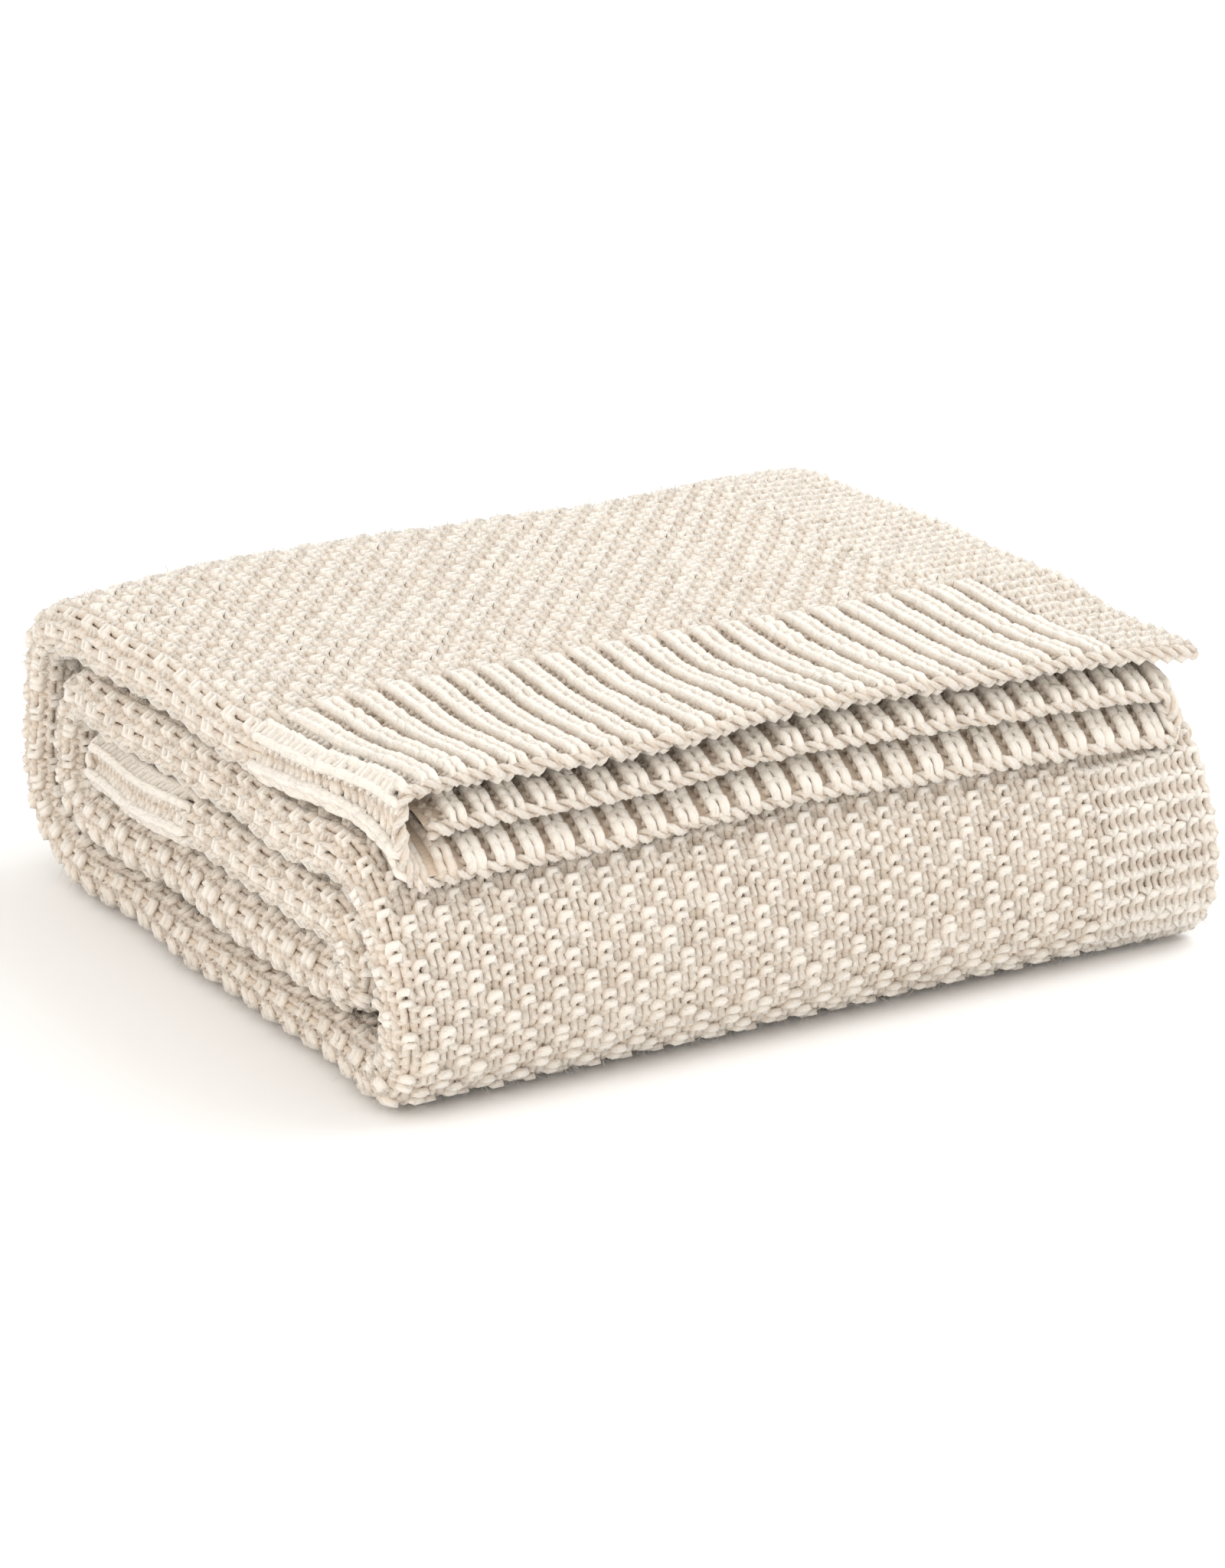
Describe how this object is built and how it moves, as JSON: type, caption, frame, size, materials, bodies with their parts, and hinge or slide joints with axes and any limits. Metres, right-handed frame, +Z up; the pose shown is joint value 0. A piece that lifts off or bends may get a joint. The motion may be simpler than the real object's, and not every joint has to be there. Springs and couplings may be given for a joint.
{
  "type": "folded throw blanket",
  "caption": "Chunky knitted throw folded in thirds and rolled flat into a soft pack, with ribbed hems, garter side borders and a top flap that opens back.",
  "frame": {"origin": "under the middle of the folded pack, on the surface it rests on", "axes": "+X along the ribbed hem to the raw side edge, +Y from the hem to the back fold, +Z up"},
  "size_m": [0.454, 0.448, 0.1617],
  "materials": {
    "moss_knit": "matte, fuzzy double-moss knit",
    "garter_knit": "matte, fuzzy garter knit",
    "rib_knit": "matte, fuzzy 1x1 rib knit",
    "edge_cord": "matte, lumpy bound-off edge"
  },
  "bodies": {
    "base": {"bottom_panel": "moss_knit", "bottom_panel_side_border": "garter_knit", "lower_back_fold": "moss_knit", "lower_back_fold_side_border": "garter_knit", "front_fold": "moss_knit", "front_fold_side_border": "garter_knit", "second_panel": "moss_knit", "inner_back_fold": "moss_knit", "fourth_panel": "moss_knit", "inner_front_fold": "moss_knit", "core_panel": "moss_knit", "inner_hem_rib": "rib_knit", "inner_hem_edge": "edge_cord"},
    "back_wall": {"back_fold": "moss_knit", "back_fold_side_border": "garter_knit"},
    "top_flap": {"upper_back_fold": "moss_knit", "upper_back_fold_side_border": "garter_knit", "top_panel": "moss_knit", "top_panel_side_border": "garter_knit", "upper_hem_rib": "rib_knit", "middle_hem_rib": "rib_knit", "lower_hem_rib": "rib_knit", "upper_hem_edge": "edge_cord", "middle_hem_edge": "edge_cord", "lower_hem_edge": "edge_cord"}
  },
  "joints": [
    {"name": "lower_back_corner", "type": "hinge", "parent": "base", "child": "back_wall", "pos_m": [0, 0.20032, 0.02368], "axis": [-1, 0, 0], "range_deg": [0, 90]},
    {"name": "upper_back_corner", "type": "hinge", "parent": "back_wall", "child": "top_flap", "pos_m": [0, 0.20032, 0.13802], "axis": [-1, 0, 0], "range_deg": [0, 90]}
  ],
  "couplings": [
    {"joint": "upper_back_corner", "follows": "lower_back_corner", "ratio": 1}
  ]
}
